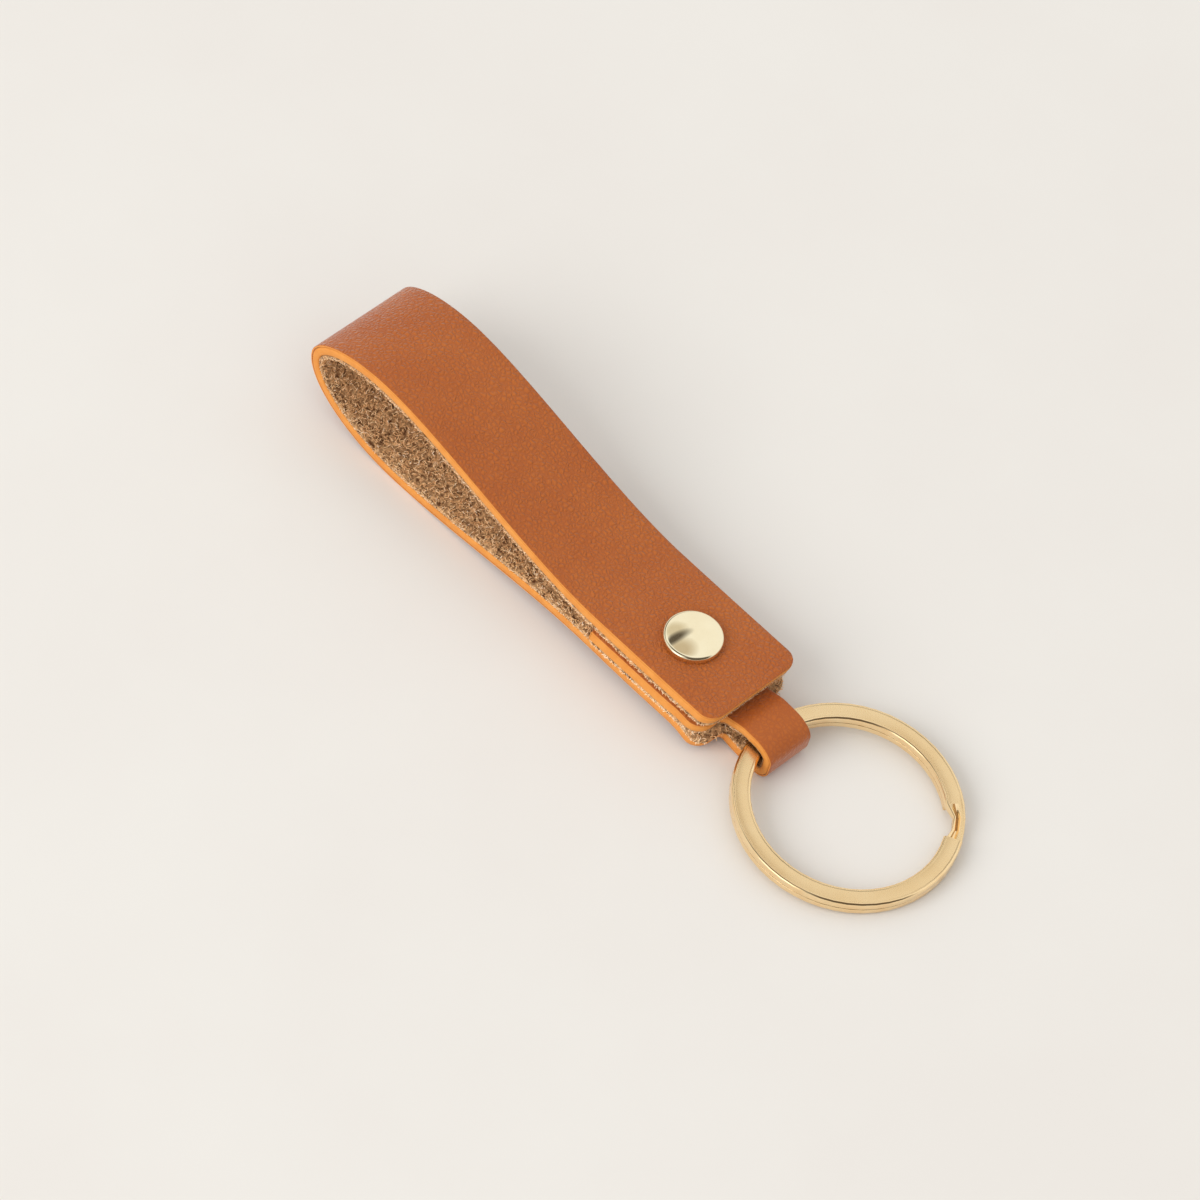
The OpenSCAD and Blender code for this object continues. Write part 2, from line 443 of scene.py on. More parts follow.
def punch(piece):
    """Punches the rivet's three holes through a flat layer."""
    radius = post_d / 2 + press_fit + socket_wall + hole_fit
    for x in rivet_at:
        deselect()
        bpy.ops.mesh.primitive_cylinder_add(
            vertices=48, radius=radius, depth=4 * leather_t, location=(x, rivet_side, 0)
        )
        bit = named("punch")
        modifier = piece.modifiers.new("hole", "BOOLEAN")
        modifier.object = bit
        modifier.solver = "EXACT"
        finish_modifiers(piece)
        bpy.data.objects.remove(bit)


def hang_at(length):
    """How far the free edges hang at a length along the strip, how much their cut faces
    turn with that and how much they lean. A positive hang goes towards the grain."""
    flap_lift, flap_lean, flap_reach = 0.12, 0.14, 13
    lower_hang, lower_reach, shoulder_hang = 0.7, 15, 0.25
    tongue_droop, shoulder_rise = 1.2, 0.7
    turn, into_neck, held, lower_run_l, tongue_run_l = 0.35, 1, 3, 6, 7
    if length < loop_from + fade_l:
        near = math.exp(-(((rivet_at[0] - length) / flap_reach) ** 2))
        return -flap_lift * near, 0, flap_lean * near
    if loop_to - fade_l < length < neck_from + into_neck:
        past = length - rivet_at[1]
        hang = lower_hang * math.exp(-((past / lower_reach) ** 2))
        return hang + shoulder_hang * ease((past - held) / lower_run_l), turn, 0
    if length > neck_to - into_neck:
        before = rivet_at[2] - length
        return shoulder_rise * ease((before - held) / tongue_run_l) - tongue_droop, turn, 0
    return 0, 1, 0


def hand_shape(piece):
    """On a flat piece, presses the dimple round the cap, lets the strap's free edges hang,
    turns its cut faces and undercuts the flap's end."""
    dimple, dimple_r, undercut, end_run = 0.3, 4.5, 0.33, 3
    for vertex in piece.data.vertices:
        length, y, z = vertex.co
        side = abs(y) / half_w
        if length < loop_from + fade_l:
            away = math.hypot(rivet_at[0] - length, y - rivet_side) / dimple_r
            vertex.co.z += dimple * math.exp(-(away ** 4))
        hang, turn, lean = hang_at(length)
        vertex.co.x += undercut * min(z, base_t) * max(0, 1 - length / end_run)
        vertex.co.z -= hang * side ** 4
        slope = turn * 4 * hang / half_w + lean
        vertex.co.y += math.copysign(slope * z * side ** 3, y)


def mark_drawn(piece):
    """Notes on a flat layer how far the leather is drawn smooth over the neck."""
    run = 3
    drawn = [
        ease((v.co.x - neck_from) / run) * ease((neck_to - v.co.x) / run)
        for v in piece.data.vertices
    ]
    marks = piece.data.attributes.new("drawn", "FLOAT", "POINT")
    marks.data.foreach_set("value", drawn)


def paint_sides(piece, paint):
    """Gives the cut sides of a flat layer a finish of their own."""
    steep = 0.6
    piece.data.materials.append(paint)
    for face in piece.data.polygons:
        if abs(face.normal.z) < steep:
            face.material_index = 1


def settle(piece):
    """Puts a bent piece in its place in the keychain's frame, in metres."""
    piece.data.transform(strap_place)
    piece.data.update()


# ---------------------------------------------------------------- fibres
def strand_mesh(name, strands):
    """Tapered three-sided strands in one mesh. A strand is its points, its thickness and
    the one shade that it keeps."""
    verts, faces, shades = [], [], []
    for points, radius, shade in strands:
        first = len(verts)
        run = (points[-1] - points[0]).normalized()
        side = run.orthogonal().normalized()
        up = run.cross(side)
        for number, point in enumerate(points[:-1]):
            taper = radius * (1 - 0.2 * number)
            for turn in range(3):
                angle = math.radians(120 * turn)
                verts.append(point + taper * (math.cos(angle) * side + math.sin(angle) * up))
        verts.append(points[-1])
        tip = len(verts) - 1
        faces.append((first + 2, first + 1, first))
        rings = len(points) - 1
        for number in range(rings - 1):
            base = first + 3 * number
            for turn in range(3):
                after = (turn + 1) % 3
                faces.append((base + turn, base + after, base + after + 3, base + turn + 3))
        base = first + 3 * (rings - 1)
        for turn in range(3):
            faces.append((base + turn, base + (turn + 1) % 3, tip))
        shades += [shade] * (len(verts) - first)
    mesh = bpy.data.meshes.new(name)
    mesh.from_pydata(verts, [], faces)
    mesh.attributes.new("shade", "FLOAT", "POINT").data.foreach_set("value", shades)
    piece = bpy.data.objects.new(name, mesh)
    bpy.context.scene.collection.objects.link(piece)
    return piece


def clump(x, y):
    """How full the pile stands at a place on the flat fleece, from 0 to 1."""
    size = 0.55
    value = mathutils.noise.noise(Vector((x / size, y / size, 0)))
    return min(1, max(0, 0.5 + 0.9 * value))


def matted(chance, count, start, end):
    """Curled strands that lie matted over the fleece, between two places on the strip."""
    margin, bare, sunk = 0.15, 0.3, 0.05
    strands = []
    while len(strands) < count:
        x = chance.uniform(start, end)
        half = half_at(x) - margin
        y = chance.uniform(-half, half)
        loose = 1 - 0.8 * pressed(x)
        tuft = clump(x, y)
        if tuft < bare:
            continue
        angle = chance.uniform(0, 2 * math.pi)
        length = chance.uniform(0.35, 0.75)
        turn = chance.uniform(-1.6, 1.6)
        lift = (0.08 + 0.24 * tuft * chance.uniform(0.6, 1)) * loose
        base = depth_at(x, leather_t - sunk)
        points = []
        for share, height in ((0, -0.08), (0.35, 1), (0.7, 0.9), (1, 0.1)):
            heading = angle + turn * share
            place = Vector((x + length * share * math.cos(heading), 0, base + height * lift))
            place.y = min(half, max(-half, y + length * share * math.sin(heading)))
            points.append(place)
        # Strands in thin pile stand lower and get darker colours: painted shade in the pile's
        # hollows, with a random tone of their own.
        shade = 0.55 * tuft + 0.45 * chance.random()
        strands.append((points, chance.uniform(0.055, 0.085), shade))
    return strands


def edge_strands(chance, count, start, end):
    """Pale short strands that poke out of the fleece's cut edge on both sides, except in
    the ring and at the flap's corners."""
    reach, sunk = 0.3, 0.25
    strands = []
    while len(strands) < count:
        x = chance.uniform(start, end)
        if band_from < x < band_to or x < corner_r / 2:
            continue
        side = chance.choice((-1, 1))
        root = Vector((x, side * (half_at(x) - sunk), 0))
        root.z = depth_at(x, chance.uniform(base_t + 0.05, leather_t))
        out = chance.uniform(0.1, reach)
        drift = chance.uniform(-0.4, 0.4)
        lift = chance.uniform(-0.05, 0.15)
        middle = root + Vector((drift * 0.5, side * out * 0.7, lift * 0.3))
        tip = root + Vector((drift, side * out, lift))
        shade = 0.45 + 0.55 * chance.random()
        strands.append(([root, middle, tip], chance.uniform(0.035, 0.06), shade))
    return strands


def end_strands(chance, count):
    """Short strands along the cut end of the flap."""
    sunk = 0.25
    strands = []
    reach = half_w - corner_r
    for _ in range(count):
        y = chance.uniform(-reach, reach)
        root = Vector((sunk, y, chance.uniform(base_t, leather_t)))
        tip = root + Vector((-chance.uniform(0.15, 0.35), chance.uniform(-0.3, 0.3), 0.05))
        middle = (root + tip) / 2 + Vector((0, 0, chance.uniform(-0.05, 0.05)))
        shade = 0.3 + 0.7 * chance.random()
        strands.append(([root, middle, tip], chance.uniform(0.035, 0.06), shade))
    return strands


# ---------------------------------------------------------------- node helpers
def linear(red, green, blue):
    """A colour given on the usual 0 to 255 scale, as light."""
    def one(value):
        value /= 255
        return value / 12.92 if value <= 0.04045 else ((value + 0.055) / 1.055) ** 2.4
    return one(red), one(green), one(blue), 1


def join(tree, source, target):
    tree.links.new(source, target)


def feed(tree, value, socket):
    """Sets a socket to a plain value, or links it to the socket that gives its value."""
    if isinstance(value, bpy.types.NodeSocket):
        join(tree, value, socket)
    else:
        socket.default_value = value


def node(tree, kind, sockets=(), **settings):
    """Adds a node with its settings and with what each named or numbered socket takes."""
    made = tree.nodes.new("ShaderNode" + kind)
    for name, value in settings.items():
        setattr(made, name, value)
    for place, value in dict(sockets).items():
        feed(tree, value, made.inputs[place])
    return made


def scaled(tree, vector, per_mm):
    """Object coordinates stretched so that one unit is one cell at that many per mm."""
    sockets = {"Vector": vector, "Scale": (per_mm / MM,) * 3}
    return node(tree, "Mapping", sockets).outputs["Vector"]


def divided(tree, vector, size):
    return node(tree, "VectorMath", {0: vector, 1: size}, operation="DIVIDE").outputs[0]


def noise(tree, vector, detail=2, roughness=0.5):
    sockets = {"Vector": vector, "Scale": 1, "Detail": detail, "Roughness": roughness}
    return node(tree, "TexNoise", sockets).outputs["Fac"]


def between(tree, value, low, high, to_low=0, to_high=1, easing="LINEAR"):
    """A value carried from one range over to another and held inside it."""
    sockets = {
        "Value": value, "From Min": low, "From Max": high, "To Min": to_low, "To Max": to_high
    }
    return node(tree, "MapRange", sockets, interpolation_type=easing).outputs["Result"]


def mixed(tree, share, low, high):
    """A colour between two colours, each a value or a socket."""
    return node(tree, "Mix", {0: share, 6: low, 7: high}, data_type="RGBA").outputs[2]


def maths(tree, operation, first, second):
    return node(tree, "Math", {0: first, 1: second}, operation=operation).outputs[0]


def bumped(tree, height, strength, depth_mm):
    sockets = {"Height": height, "Strength": strength, "Distance": depth_mm * MM}
    return node(tree, "Bump", sockets).outputs["Normal"]


def new_material(name, **fixed):
    """A material with its own Principled shader. Fixed values go on its sockets."""
    material = bpy.data.materials.new(name)
    material.use_nodes = True
    tree = material.node_tree
    shader = next(n for n in tree.nodes if n.type == "BSDF_PRINCIPLED")
    for socket, value in fixed.items():
        shader.inputs[socket.replace("_", " ")].default_value = value
    coordinates = node(tree, "TexCoord").outputs["Object"]
    return material, tree, shader, coordinates


def new_group(name, inputs, outputs):
    group = bpy.data.node_groups.new(name, "ShaderNodeTree")
    for direction, sockets in (("INPUT", inputs), ("OUTPUT", outputs)):
        for label, kind in sockets:
            group.interface.new_socket(
                name=label, in_out=direction, socket_type="NodeSocket" + kind
            )
    entry = group.nodes.new("NodeGroupInput")
    leave = group.nodes.new("NodeGroupOutput")
    return group, entry.outputs, leave.inputs


def use_group(tree, group, coordinates, **values):
    made = node(tree, "Group", node_tree=group)
    join(tree, coordinates, made.inputs["Coordinates"])
    for label, value in values.items():
        made.inputs[label.replace("_", " ")].default_value = value
    return made.outputs


def mottle_group():
    """Slow and fine colour changes between two colours, as dyeing and handling leave; on the
    fleece they also carry painted shade in its low places.
    """
    group, given, out = new_group(
        "mottle",
        [
            ("Coordinates", "Vector"), ("Patch size", "Float"),
            ("Colour", "Color"), ("Second colour", "Color"),
        ],
        [("Colour", "Color"), ("Mask", "Float")],
    )
    at = divided(group, given["Coordinates"], given["Patch size"])
    broad = noise(group, at, detail=4, roughness=0.6)
    mask = between(group, broad, 0.35, 0.65)
    join(group, mixed(group, mask, given["Colour"], given["Second colour"]), out["Colour"])
    join(group, mask, out["Mask"])
    return group


def pebble_group():
    """The fine pebbled grain of embossed leather, as a height and a valley mask."""
    group, given, out = new_group(
        "pebble grain",
        [("Coordinates", "Vector"), ("Pebble size", "Float")],
        [("Height", "Float"), ("Valleys", "Float")],
    )
    at = divided(group, given["Coordinates"], given["Pebble size"])
    wander = node(group, "TexNoise", {"Vector": at, "Scale": 0.8}).outputs["Color"]
    warped = node(group, "VectorMath", {0: at, 1: wander}, operation="ADD").outputs[0]
    sockets = {"Vector": warped, "Scale": 1}
    cells = node(group, "TexVoronoi", sockets, feature="DISTANCE_TO_EDGE").outputs["Distance"]
    pebbles = between(group, cells, 0, 0.35)
    fine = noise(group, at, detail=3)
    height = maths(group, "ADD", maths(group, "MULTIPLY", pebbles, 0.7), fine)
    join(group, height, out["Height"])
    join(group, maths(group, "SUBTRACT", 1.0, pebbles), out["Valleys"])
    return group


mottle = mottle_group()
pebble = pebble_group()


# ---------------------------------------------------------------- materials
def grain_leather():
    material, tree, shader, at = new_material(
        "tan grain leather", IOR=1.45, Sheen_Weight=0.36, Sheen_Roughness=0.4
    )
    tone = use_group(
        tree, mottle, at, Patch_size=9 * MM,
        Colour=linear(188, 100, 28), Second_colour=linear(181, 93, 25),
    )
    grain = use_group(tree, pebble, at, Pebble_size=0.62 * MM)
    dark = mixed(
        tree, between(tree, grain["Valleys"], 0.2, 1.0, 0, 0.34),
        tone["Colour"], linear(146, 66, 22),
    )
    join(tree, dark, shader.inputs["Base Color"])
    rough = between(tree, tone["Mask"], 0, 1, 0.46, 0.55)
    join(tree, rough, shader.inputs["Roughness"])
    drawn = node(tree, "Attribute", attribute_name="drawn").outputs["Fac"]
    depth = between(tree, drawn, 0, 1, 1, 0.35)
    height = maths(tree, "MULTIPLY", grain["Height"], depth)
    join(tree, bumped(tree, height, 0.9, 0.16), shader.inputs["Normal"])
    return material


def dyed_core():
    material, tree, shader, at = new_material("orange edge", IOR=1.45)
    tone = use_group(
        tree, mottle, at, Patch_size=1.6 * MM,
        Colour=linear(228, 152, 69), Second_colour=linear(220, 140, 58),
    )
    join(tree, tone["Colour"], shader.inputs["Base Color"])
    fine = noise(tree, scaled(tree, at, 3), detail=4)
    join(tree, between(tree, fine, 0.3, 0.7, 0.5, 0.7), shader.inputs["Roughness"])
    join(tree, bumped(tree, fine, 0.4, 0.08), shader.inputs["Normal"])
    return material


def fleece_felt():
    material, tree, shader, at = new_material("brown fleece", Roughness=0.95)
    tone = use_group(
        # The fleece's low places take the darker colour: painted shade in the pits between its
        # tufts, over its own mottle.
        tree, mottle, at, Patch_size=0.7 * MM,
        Colour=linear(96, 58, 30), Second_colour=linear(228, 180, 128),
    )
    join(tree, tone["Colour"], shader.inputs["Base Color"])
    join(tree, bumped(tree, tone["Mask"], 0.9, 0.2), shader.inputs["Normal"])
    return material


def fleece_strands():
    material, tree, shader, at = new_material("fleece strands", Roughness=0.85)
    shade = node(tree, "Attribute", attribute_name="shade").outputs["Fac"]
    ramp = node(tree, "ValToRGB", {"Fac": shade})
    colours = (
        (0.0, linear(160, 106, 62)), (0.4, linear(230, 178, 122)),
        (0.7, linear(254, 214, 162)), (1.0, linear(255, 238, 212)),
    )
    while len(ramp.color_ramp.elements) < len(colours):
        ramp.color_ramp.elements.new(0.5)
    for element, (place, colour) in zip(ramp.color_ramp.elements, colours):
        element.position, element.color = place, colour
    join(tree, ramp.outputs["Color"], shader.inputs["Base Color"])
    fine = noise(tree, scaled(tree, at, 8), detail=2)
    join(tree, between(tree, fine, 0.3, 0.7, 0.75, 0.95), shader.inputs["Roughness"])
    return material


def plated(name, colour, second, rough, scratch=0.1, patch=2.5):
    """Plated metal with faint uneven polish. Rough is the range of its roughness."""
    material, tree, shader, at = new_material(name, Metallic=1.0)
    tone = use_group(
        tree, mottle, at, Patch_size=patch * MM, Colour=colour, Second_colour=second,
    )
    join(tree, tone["Colour"], shader.inputs["Base Color"])
    fine = noise(tree, scaled(tree, at, 6), detail=4, roughness=0.7)
    join(tree, between(tree, fine, 0.3, 0.7, *rough), shader.inputs["Roughness"])
    join(tree, bumped(tree, fine, scratch, 0.01), shader.inputs["Normal"])
    return material


# ---------------------------------------------------------------- rivet caps
def cap_profile(height, rim):
    """Half section of a pressed cap from its pole, round its rolled rim to its lip."""
    rim_r, foot_r, crown, flare, lip = 0.45, 0.18, 0.34, 0.06, 1.1
    radius = cap_d / 2 + flare
    edge = radius - rim_r
    lean = math.atan(2 * crown / edge)
    points = [(edge * step / 9, height - crown * (step / 9) ** 2) for step in range(9)]
    drop = height - crown - rim_r * math.cos(lean)
    for step in range(8):
        angle = (math.radians(90) - lean) * (1 - step / 7)
        reach = (math.cos(angle) - math.sin(lean)) / (1 - math.sin(lean))
        points.append((edge + rim_r * reach, drop + rim_r * math.sin(angle)))
    for step in range(5):
        angle = math.radians(90) * step / 4
        across, down = foot_r * math.cos(angle), foot_r * math.sin(angle)
        points.append((radius - foot_r + across, rim + foot_r - down))
    points.append((radius - lip, rim))
    return points


def cap(name, height, rim, place):
    """A pressed cap: its half section spun round, then given its wall inwards."""
    profile = cap_profile(height, rim)
    mesh = bpy.data.meshes.new(name)
    verts = [(r, 0, z) for r, z in profile]
    mesh.from_pydata(verts, [(n, n + 1) for n in range(len(verts) - 1)], [])
    piece = bpy.data.objects.new(name, mesh)
    bpy.context.scene.collection.objects.link(piece)
    edit(piece)
    select_all()
    bpy.ops.mesh.spin(steps=96, angle=2 * math.pi, center=(0, 0, 0), axis=(0, 0, 1))
    select_all()
    bpy.ops.mesh.remove_doubles(threshold=0.001)
    recalculate()
    leave_edit()
    solid = piece.modifiers.new("wall", "SOLIDIFY")
    solid.thickness = cap_sheet
    solid.offset = -1
    finish_modifiers(piece)
    piece.data.transform(place)
    edit(piece)
    recalculate()
    leave_edit()
    smooth(piece, 35)
    settle(piece)
    return piece


# ---------------------------------------------------------------- the split ring
def wire_angle(x):
    """Angle that the wire has travelled at a length along its middle line."""
    return math.degrees(x / (ring_r - band_w / 2))


wound = 720 - crossover_a - 2 * free_end
ramp_from = 360 - crossover_a - free_end
ramp_to = 360 - free_end
# Degrees of winding between two bends of the bar
bend_step = 1.5
# Where the middle of the ramp's slot lies across the bar, from its outer side
slot_middle = 0.62


def ring_curve():
    """Two turns clockwise: the upper coil, the ramp down and the lower coil."""
    radius = ring_r - band_w / 2
    level = (ring_t - coil_gap) / 4 + coil_gap / 2
    count = int(wound / bend_step) + 1
    curve = bpy.data.curves.new("winding", "CURVE")
    curve.dimensions = "3D"
    curve.twist_mode = "Z_UP"
    spline = curve.splines.new("POLY")
    spline.points.add(count)
    for number, point in enumerate(spline.points):
        travelled = wound * number / count
        angle = math.radians(crossover_at - crossover_a / 2 - free_end - travelled)
        drop = ease((travelled - ramp_from) / (ramp_to - ramp_from))
        point.co = (
            radius * math.cos(angle), radius * math.sin(angle), level * (1 - 2 * drop), 1
        )
    winding = bpy.data.objects.new("winding", curve)
    bpy.context.scene.collection.objects.link(winding)
    bpy.context.view_layer.update()
    return winding


def slot_at(travelled):
    """How open the ramp's slot is, at an angle that the wire has travelled."""
    opening, closing, early = 3, 1.5, 3
    return ease((travelled - ramp_from) / opening) * ease((ramp_to - early - travelled) / closing)


def polish_walls(piece):
    """Leaves the flat faces satin, polishes the walls, the rounded edges and the slot, and
    gives the slot's floor a dark gold: painted shade and a painted dark reflection in the groove."""
    flat, upward, slot_half, floor_half = 0.97, 0.5, 0.24, 0.07
    begun, wide = 0.05, 0.6
    for face in piece.data.polygons:
        opened = slot_at(wire_angle(face.center.x))
        off = abs((band_w / 2 - face.center.y) / band_w - slot_middle)
        if abs(face.normal.z) < flat or (opened > begun and off < slot_half):
            face.material_index = 1
        # The slot's floor gets the dark gold: painted shade in the groove.
        if opened > wide and face.normal.z > upward and off < floor_half:
            face.material_index = 2


def press_ramp(vertex, top):
    """Narrows the flat bar from its inner side at the ramp and presses a slot in it."""
    narrow, slot, slot_half, top_near = 0.9, 0.5, 0.14, 0.1
    in_run, out_run, kept = 5, 4, 0.4
    travelled = wire_angle(vertex.co.x)
    into = ease((travelled - ramp_from) / in_run)
    into *= ease((ramp_to - travelled) / out_run + kept)
    share = (band_w / 2 - vertex.co.y) / band_w
    vertex.co.y += narrow * into * share
    if vertex.co.z > top - top_near:
        off = (share - slot_middle) / slot_half
        vertex.co.z -= slot * slot_at(travelled) * math.exp(-(off ** 4))


def finish_bar(vertex, half_t, edge_r):
    """Crowns the ring's outer faces and tightens the edges where its coils touch."""
    crown, tight_r, near = 0.06, 0.07, 0.001
    lower = ease((wire_angle(vertex.co.x) - ramp_from) / (ramp_to - ramp_from))
    y, z = vertex.co.y, vertex.co.z
    touching = lower if z > 0 else 1 - lower
    across = abs(y) - band_w / 2 + edge_r
    rise = abs(z) - half_t + edge_r
    if across > -near and rise > -near:
        tight_y = band_w / 2 - tight_r * (1 - across / edge_r)
        tight_z = half_t - tight_r * (1 - rise / edge_r)
        vertex.co.y += math.copysign(touching * (tight_y - abs(y)), y)
        vertex.co.z += math.copysign(touching * (tight_z - abs(z)), z)
    elif rise > -near:
        fall = crown * (1 - touching) * (y / (band_w / 2 - edge_r)) ** 2
        vertex.co.z -= math.copysign(fall, z)


def split_ring():
    coil_t = (ring_t - coil_gap) / 2
    length = math.radians(wound) * (ring_r - band_w / 2)
    edge_r = 0.4
    deselect()
    bpy.ops.mesh.primitive_cube_add(size=1, location=(length / 2, 0, 0))
    piece = named("split_ring_wire")
    piece.scale = (length, band_w, coil_t)
    bpy.ops.object.transform_apply()
    edit(piece)

    def is_long(side):
        start, end = (piece.data.vertices[number].co for number in side.vertices)
        return abs(start.x - end.x) > length / 2

    pick(piece, "EDGE", is_long)
    bpy.ops.mesh.bevel(offset=edge_r, segments=5, affect="EDGES")
    lane, lanes = 0.15, 5
    for number in range(-lanes, lanes + 1):
        cut((0, lane * number, 0), (0, 1, 0))
    pick(piece, "EDGE", is_long)
    bpy.ops.mesh.subdivide(number_cuts=int(wound / bend_step))
    leave_edit()
    polish_walls(piece)
    for vertex in piece.data.vertices:
        finish_bar(vertex, coil_t / 2, edge_r)
        press_ramp(vertex, coil_t / 2)
    winding = ring_curve()
    modifier = piece.modifiers.new("winding", "CURVE")
    modifier.object = winding
    modifier.deform_axis = "POS_X"
    finish_modifiers(piece)
    bpy.data.objects.remove(winding)
    edit(piece)
    recalculate()
    leave_edit()
    smooth(piece, 30)
    piece.data.transform(ring_place)
    return piece


# ---------------------------------------------------------------- camera and light
def camera():
    azimuth, elevation, roll = math.radians(35.49), math.radians(52.29), math.radians(13.02)
    distance, lens = 900, 216.27
    aim = Vector((0.39, -9.12, 13.28))
    back = Vector((
        math.sin(azimuth) * math.cos(elevation),
        -math.cos(azimuth) * math.cos(elevation),
        math.sin(elevation),
    ))
    level = Vector((math.cos(azimuth), math.sin(azimuth), 0))
    right = math.cos(roll) * level + math.sin(roll) * back.cross(level)
    up = back.cross(right)
    data = bpy.data.cameras.new("camera")
    data.lens, data.sensor_width = lens, 36
    data.clip_start, data.clip_end = 0.01, 20
    seen = bpy.data.objects.new("camera", data)
    bpy.context.scene.collection.objects.link(seen)
    turn = Matrix((right, up, back)).transposed().to_4x4()
    seen.matrix_world = Matrix.Translation((aim + distance * back) * MM) @ turn
    bpy.context.scene.camera = seen


def key_lamp():
    """One wide soft lamp in front. Reflections see the room in its place."""
    place, size, power = Vector((-0.6, -2.1, 1.5)), (2.1, 1.6), 34.5
    data = bpy.data.lights.new("key", "AREA")
    data.shape = "RECTANGLE"
    data.size, data.size_y = size
    data.energy = power
    lamp = bpy.data.objects.new("key", data)
    bpy.context.scene.collection.objects.link(lamp)
    lamp.location = place
    lamp.rotation_euler = (-place).to_track_quat("-Z", "Y").to_euler()
    lamp.visible_glossy = False


def floor():
    deselect()
    bpy.ops.mesh.primitive_plane_add(size=6)
    sheet = named("floor")
    material, tree, shader, at = new_material("warm white paper", Roughness=0.9)
    tone = use_group(
        tree, mottle, at, Patch_size=60 * MM,
        Colour=linear(237, 233, 226), Second_colour=linear(235, 230, 223),
    )
    join(tree, tone["Colour"], shader.inputs["Base Color"])
    fine = noise(tree, scaled(tree, at, 1.5), detail=3)
    join(tree, bumped(tree, fine, 0.05, 0.05), shader.inputs["Normal"])
    sheet.data.materials.append(material)


def along(tree, direction, axis):
    made = node(tree, "VectorMath", {0: direction, 1: axis}, operation="DOT_PRODUCT")
    return made.outputs["Value"]


def facing(tree, direction, towards, low, high):
    """How near a direction points to another one, eased between two cosines."""
    cosine = along(tree, direction, Vector(towards).normalized())
    return between(tree, cosine, low, high, easing="SMOOTHSTEP")


def blot(tree, direction, towards, size):
    """How near a direction lies to the middle of a soft oval above the horizon, which is
    sized across and along Y."""
    middle = Vector(towards).normalized()
    across = middle.cross(Vector((0, 1, 0))).normalized()
    total = 0.0
    for axis, reach in zip((across, across.cross(middle)), size):
        off = along(tree, direction, axis / reach)
        total = maths(tree, "ADD", total, maths(tree, "MULTIPLY", off, off))
    near = between(tree, total, 0.2, 1.6, 1, 0)
    rise = node(tree, "SeparateXYZ", {0: direction}).outputs["Z"]
    return maths(tree, "MULTIPLY", near, between(tree, rise, 0.2, 0.4))


def world():
    """A pale room. Reflections see a bright ceiling, a window low in front, a dark side
    and a few beige and dark places overhead."""
    made = bpy.data.worlds.new("room")
    bpy.context.scene.world = made
    made.use_nodes = True
    tree = made.node_tree
    background = next(n for n in tree.nodes if n.type == "BACKGROUND")
    background.inputs["Strength"].default_value = 1
    path = node(tree, "LightPath").outputs
    direction = node(tree, "TexCoord").outputs["Generated"]
    ceiling, dark = (1.0, 0.98, 0.95, 1), (0.12, 0.1, 0.08, 1)
    rise = node(tree, "SeparateXYZ", {0: direction}).outputs["Z"]
    room = mixed(tree, between(tree, rise, -0.1, 0.3), (0.6, 0.56, 0.5, 1), ceiling)
    window = facing(tree, direction, (-0.05, -0.98, 0.16), 0.92, 0.98)
    room = mixed(tree, window, room, (2.2, 2.15, 2.1, 1))
    room = mixed(tree, facing(tree, direction, (0.8, -0.35, 0.5), 0.7, 0.88), room, dark)
    for towards, size, tone in (
        ((-0.27, 0.2, 0.94), (0.17, 0.2), (0.62, 0.53, 0.42, 1)),
        ((-0.52, 0.36, 0.77), (0.12, 0.15), (0.72, 0.65, 0.54, 1)),
        ((-0.44, 0.26, 0.86), (0.07, 0.24), dark),
        ((-0.15, -0.5, 0.85), (0.55, 0.3), dark),
        ((-0.85, 0.1, 0.5), (0.16, 0.6), dark),
    ):
        room = mixed(tree, blot(tree, direction, towards, size), room, tone)
    sky = mixed(
        tree, facing(tree, direction, (-0.1, -0.65, 0.75), -1, 1),
        (0.32, 0.32, 0.32, 1), (0.91, 0.91, 0.91, 1),
    )
    lit = mixed(tree, path["Is Glossy Ray"], sky, room)
    seen = mixed(tree, path["Is Camera Ray"], lit, linear(241, 238, 231))
    join(tree, seen, background.inputs["Color"])


# ---------------------------------------------------------------- building
bpy.context.scene.view_settings.view_transform = "Standard"
camera()

grain = grain_leather()
core = dyed_core()
felt = fleece_felt()
strands = fleece_strands()
satin = plated(
    "satin gold", linear(238, 212, 166), linear(234, 205, 156), (0.24, 0.34), 0.05, 6
)
polished = plated(
    "polished gold", linear(252, 226, 180), linear(248, 216, 166), (0.08, 0.13), 0.015
)
mirror = plated(
    "mirror pale gold", linear(248, 238, 206), linear(244, 232, 198), (0.04, 0.08), 0.02, 4
)
slot_shade_gold = plated("gold darkened for slot shade", linear(186, 138, 84), linear(150, 106, 62), (0.2, 0.3))
steel = plated("drawn steel", linear(200, 200, 196), linear(180, 180, 176), (0.25, 0.4))

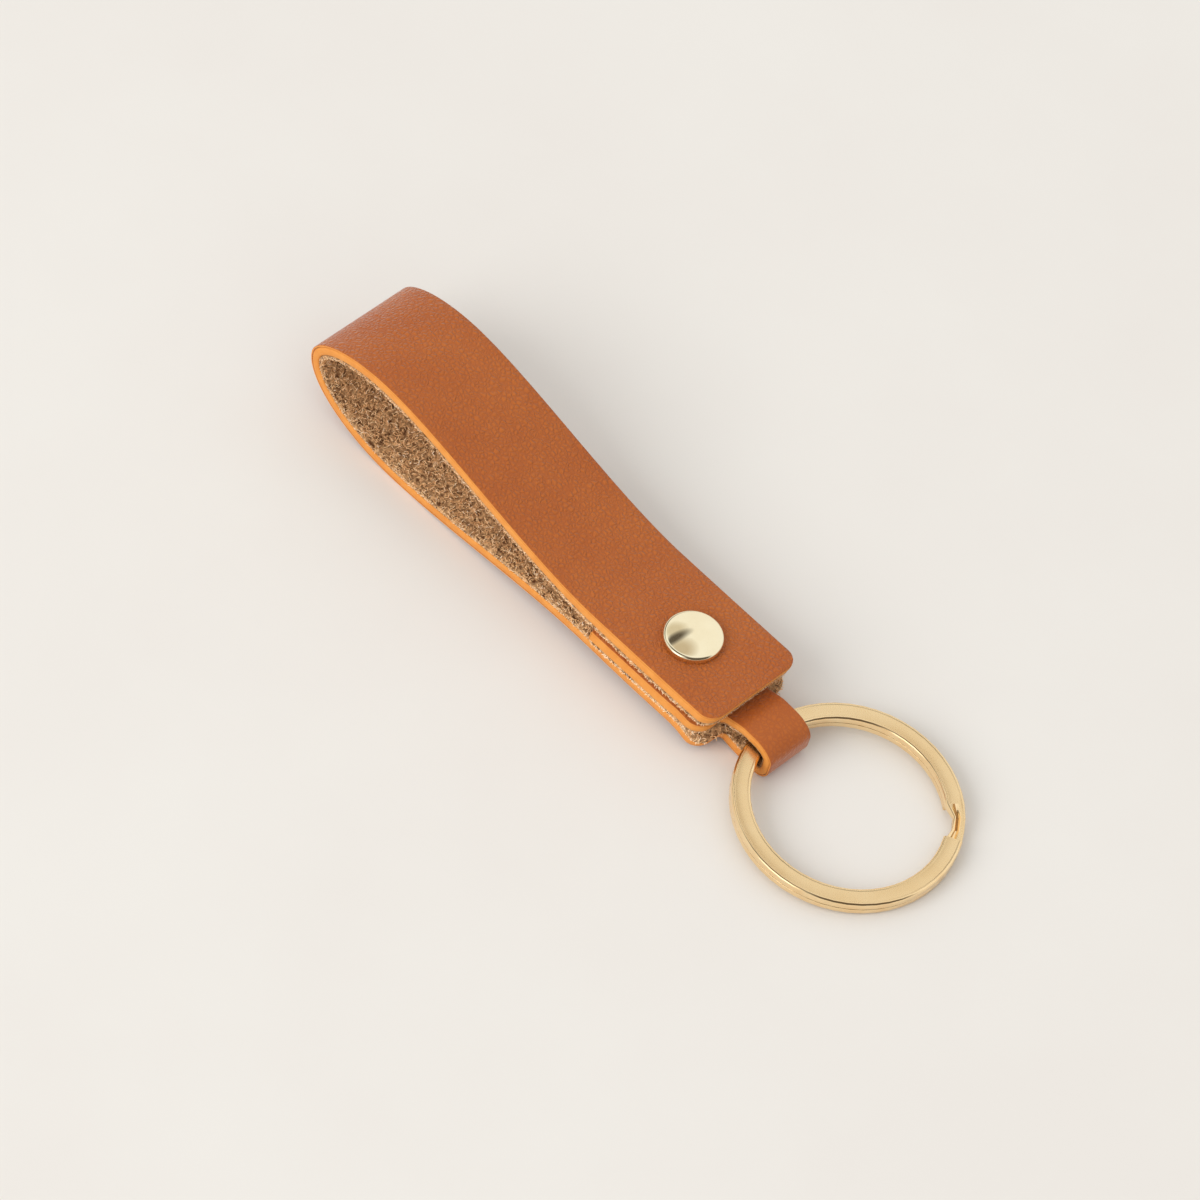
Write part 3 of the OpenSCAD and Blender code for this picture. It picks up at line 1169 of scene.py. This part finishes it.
for name, inset, low, high, edge_r, material, slot, nodes in (
    (
        "strap_grain", 0.1, 0, skin_t, 0.12, grain, "grain",
        ("loop_skin", "neck_skin", "tongue_skin"),
    ),
    (
        "strap_edge", 0, skin_t, base_t, 0.3, core, "core",
        ("loop_core", "neck_core", "tongue_core"),
    ),
    (
        "strap_fleece", 0.12, base_t, leather_t, 0.15, felt, "fleece",
        ("loop_backing", "neck_backing", "tongue_backing"),
    ),
):
    piece = flat_layer(name, inset, low, high, edge_r)
    piece.data.materials.append(material)
    if name == "strap_grain":
        paint_sides(piece, core)
    punch(piece)
    mark_drawn(piece)
    press_neck(piece)
    hand_shape(piece)
    bend(piece)
    smooth(piece, 50)
    settle(piece)
    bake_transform(piece)
    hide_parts(*nodes)

# How many strands each stretch carries, and how far the stretches reach past their ends
half_count, edge_count, neck_count, end_count = 9000, 7000, 500, 260
past_loop, past_neck, short_of_end = 8, 3, 0.5

chance = random.Random(7)
loop_middle = (loop_from + loop_to) / 2
hairs = {
    "fleece_fibres_upper": matted(chance, half_count, loop_from - past_loop, loop_middle),
    "fleece_fibres_lower": matted(chance, half_count, loop_middle, loop_to + past_loop),
    "fleece_fibres_edges": (
        edge_strands(chance, edge_count, short_of_end, strip_l - short_of_end)
        + matted(chance, neck_count, neck_from - past_neck, band_from)
        + matted(chance, neck_count, band_to, neck_to + past_neck)
        + end_strands(chance, end_count)
    ),
}
for name, lot in hairs.items():
    piece = strand_mesh(name, lot)
    hand_shape(piece)
    bend(piece)
    settle(piece)
    piece.data.materials.append(strands)
    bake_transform(piece)

front = cap(
    "front_cap", front_cap_h, -front_sink, Matrix.Translation((0, rivet_side, stack_z[3]))
)
rear = cap(
    "rear_cap", rear_cap_h, -rear_sink,
    Matrix.Translation((0, rivet_side, stack_z[0])) @ Matrix.Scale(-1, 4, (0, 0, 1)),
)
for piece, solid in ((front, "rivet_front_cap"), (rear, "rivet_rear_cap")):
    piece.data.materials.append(mirror)
    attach(piece, "strap")
    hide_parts(solid)

ring = split_ring()
for finish in (satin, polished, slot_shade_gold):
    ring.data.materials.append(finish)
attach(ring, "ring")
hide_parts("split_ring")

for solid in ("rivet_post", "rivet_socket"):
    for place in frame["nodes"][solid].material_slots:
        place.material = steel

floor()
world()
key_lamp()

bpy.data.objects.remove(route)
